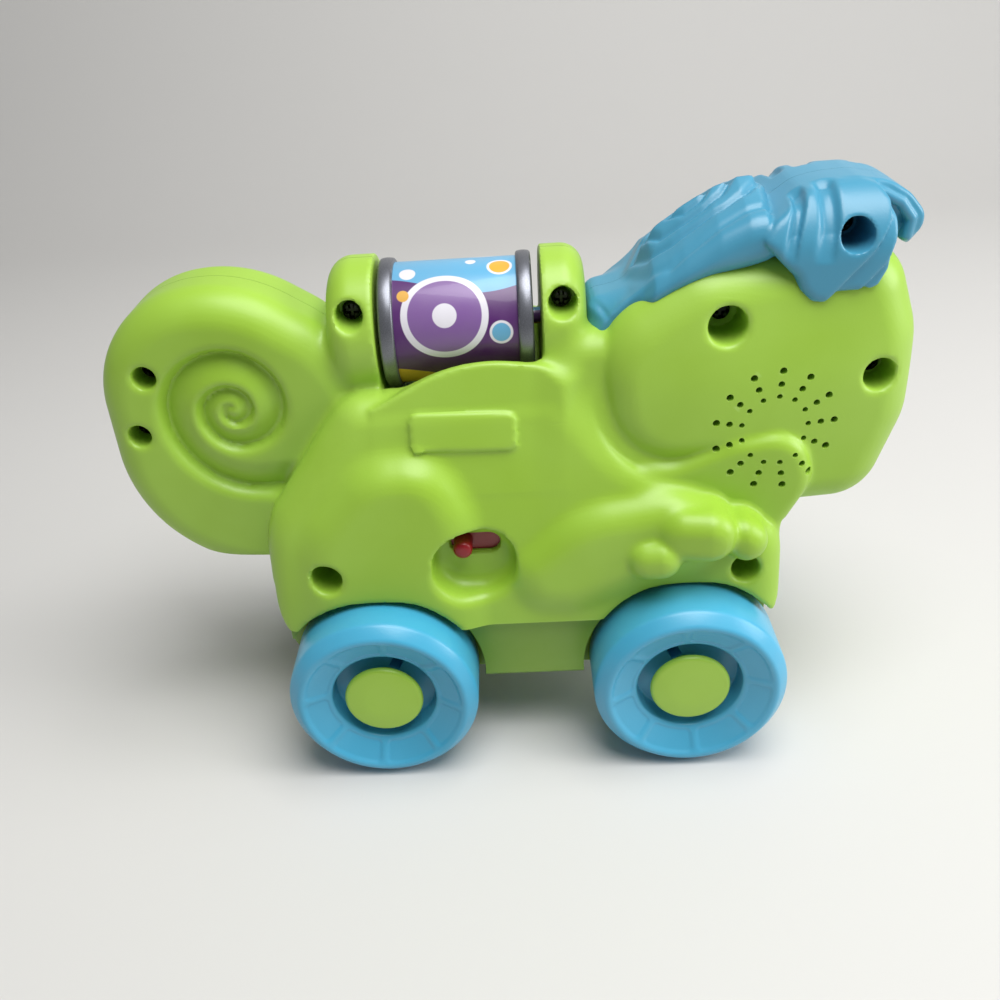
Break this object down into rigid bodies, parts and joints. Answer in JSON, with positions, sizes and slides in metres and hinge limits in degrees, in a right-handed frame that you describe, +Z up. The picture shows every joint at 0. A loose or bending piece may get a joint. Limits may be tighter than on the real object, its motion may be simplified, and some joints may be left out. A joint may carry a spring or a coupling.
{
  "type": "interactive toy",
  "caption": "Rolling toy lizard with a curled tail, four wheels, a turning drum on its back, a side slide switch and a speaker grille.",
  "frame": {"origin": "on the floor under the middle of the toy's length and width", "axes": "+X towards the head, +Y towards the toy's left side, +Z up"},
  "size_m": [0.2357, 0.1074, 0.1683],
  "materials": {
    "green_shell": "moulded, soft sheen",
    "blue_crest": "moulded, soft sheen",
    "blue_wheel": "moulded, soft sheen",
    "green_cap": "moulded, soft sheen",
    "silver_ring": "silver paint on plastic",
    "drum_wrap": "printed film",
    "red_knob": "moulded",
    "eye_white": "moulded",
    "dark_steel": "blackened",
    "nickel_plate": "nickel plated",
    "cell_jacket": "printed sleeve",
    "board_green": "solder mask",
    "black_resin": "moulded"
  },
  "bodies": {
    "toy_body": {"right_shell": "green_shell", "left_shell": "green_shell", "base_pan": "green_shell", "battery_door": "green_shell", "battery_door_screw": "dark_steel", "batteries": "cell_jacket", "battery_contacts": "nickel_plate", "battery_springs": "nickel_plate", "shell_screws": "dark_steel", "chassis_screws": "dark_steel", "circuit_board": "board_green", "board_chip": "black_resin", "board_capacitor": "black_resin", "shake_sensor": "nickel_plate", "slide_switch": "black_resin", "speaker": "black_resin", "crest_right": "blue_crest", "crest_left": "blue_crest", "crest_screw": "dark_steel", "left_eye": "eye_white"},
    "drum": {"drum_barrel": "drum_wrap", "drum_ring_rear": "silver_ring", "drum_ring_front": "silver_ring"},
    "slider": {"switch_slider": "red_knob"},
    "rear_wheelset": {"rear_axle": "nickel_plate", "rear_right_wheel": "blue_wheel", "rear_right_hub_cap": "green_cap", "rear_left_wheel": "blue_wheel", "rear_left_hub_cap": "green_cap"},
    "front_wheelset": {"front_axle": "nickel_plate", "front_right_wheel": "blue_wheel", "front_right_hub_cap": "green_cap", "front_left_wheel": "blue_wheel", "front_left_hub_cap": "green_cap"}
  },
  "joints": [
    {"name": "rear_wheels_spin", "type": "hinge", "parent": "toy_body", "child": "rear_wheelset", "pos_m": [-0.0392, 0, 0.029], "axis": [0, 1, 0], "continuous": true},
    {"name": "front_wheels_spin", "type": "hinge", "parent": "toy_body", "child": "front_wheelset", "pos_m": [0.054, 0, 0.029], "axis": [0, 1, 0], "continuous": true},
    {"name": "drum_spin", "type": "hinge", "parent": "toy_body", "child": "drum", "pos_m": [-0.0103, 0, 0.1312], "axis": [1, 0, 0], "continuous": true},
    {"name": "switch_slide", "type": "slide", "parent": "toy_body", "child": "slider", "axis": [1, 0, 0], "range_m": [0, 0.008]}
  ]
}
